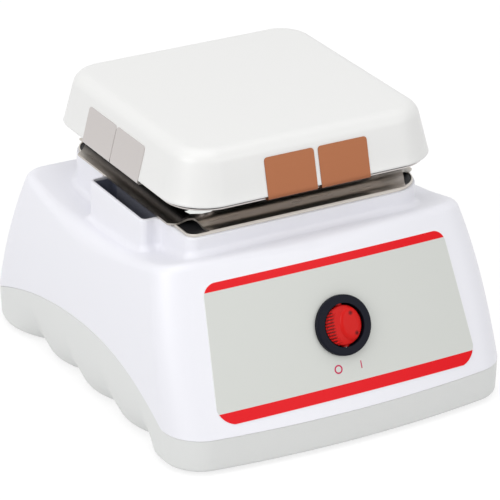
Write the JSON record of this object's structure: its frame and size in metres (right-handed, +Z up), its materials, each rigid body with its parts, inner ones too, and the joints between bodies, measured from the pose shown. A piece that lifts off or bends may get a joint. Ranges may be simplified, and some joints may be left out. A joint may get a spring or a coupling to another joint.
{
  "type": "laboratory hot plate",
  "caption": "Bench hot plate: square ceramic-coated heating plate on posts over heat shields and a sloped plastic housing with a round lit rocker switch in front",
  "frame": {"origin": "on the table, under the middle of the housing's footprint", "axes": "+X to the right seen from the front, +Y to the back, +Z up"},
  "size_m": [0.1474, 0.1764, 0.1159],
  "materials": {
    "ceramic_white": "white ceramic coat on cast aluminium",
    "stainless": "bare stainless sheet",
    "bright_steel": "bright plated steel",
    "post_steel": "turned steel",
    "mica": "mica sheet",
    "ribbon": "resistance alloy",
    "pad_wool": "ceramic wool",
    "sleeve_white": "woven heat-proof sleeve",
    "cutout_steel": "drawn can",
    "housing_white": "white moulded plastic",
    "base_grey": "pale grey moulded plastic",
    "label_film": "printed film, grey with red bands",
    "switch_black": "black moulded plastic",
    "rocker_red": "translucent red plastic",
    "lamp_glass": "neon lamp",
    "brass_parts": "brass",
    "block_white": "moulded plastic",
    "lead_brown": "silicone cover",
    "lead_blue": "silicone cover",
    "lead_white": "glass-fibre cover",
    "lead_green": "silicone cover",
    "foot_rubber": "black rubber"
  },
  "bodies": {
    "stand": {"base": "base_grey", "block_screws": "bright_steel", "corner_clip_back_left": "bright_steel", "corner_clip_back_right": "bright_steel", "corner_clip_front_left": "bright_steel", "corner_clip_front_right": "bright_steel", "earth_lead": "lead_green", "earth_nut": "bright_steel", "earth_stud": "brass_parts", "element_leads": "lead_white", "foot_back_left": "foot_rubber", "foot_back_right": "foot_rubber", "foot_front_left": "foot_rubber", "foot_front_right": "foot_rubber", "front_label": "label_film", "heat_shield": "stainless", "heating_plate": "ceramic_white", "heating_ribbon": "ribbon", "housing": "housing_white", "housing_screws": "bright_steel", "inlet_nuts": "bright_steel", "inlet_pins": "brass_parts", "inlet_screws": "bright_steel", "insulation_pad": "pad_wool", "lead_sleeve": "sleeve_white", "live_lead": "lead_brown", "lower_mica_sheet": "mica", "lower_shield": "stainless", "neutral_lead": "lead_blue", "plate_pan": "stainless", "plate_post_back_left": "post_steel", "plate_post_back_right": "post_steel", "plate_post_front_left": "post_steel", "plate_post_front_right": "post_steel", "post_screws": "bright_steel", "power_inlet": "switch_black", "pressure_plate": "post_steel", "pressure_screws": "bright_steel", "rocker_pin": "bright_steel", "shield_spacer_back_left": "post_steel", "shield_spacer_back_right": "post_steel", "shield_spacer_front_left": "post_steel", "shield_spacer_front_right": "post_steel", "switch_body": "switch_black", "switch_lamp": "lamp_glass", "switch_terminals": "brass_parts", "switched_lead": "lead_brown", "terminal_block": "block_white", "terminal_screws": "bright_steel", "thermal_cutout": "cutout_steel", "upper_mica_sheet": "mica"},
    "rocker": {"switch_rocker": "rocker_red"}
  },
  "joints": [
    {"name": "power_switch", "type": "hinge", "parent": "stand", "child": "rocker", "pos_m": [0, -0.0748, 0.04486], "axis": [0, 0.3939, 0.9191], "range_deg": [0, 20]}
  ]
}
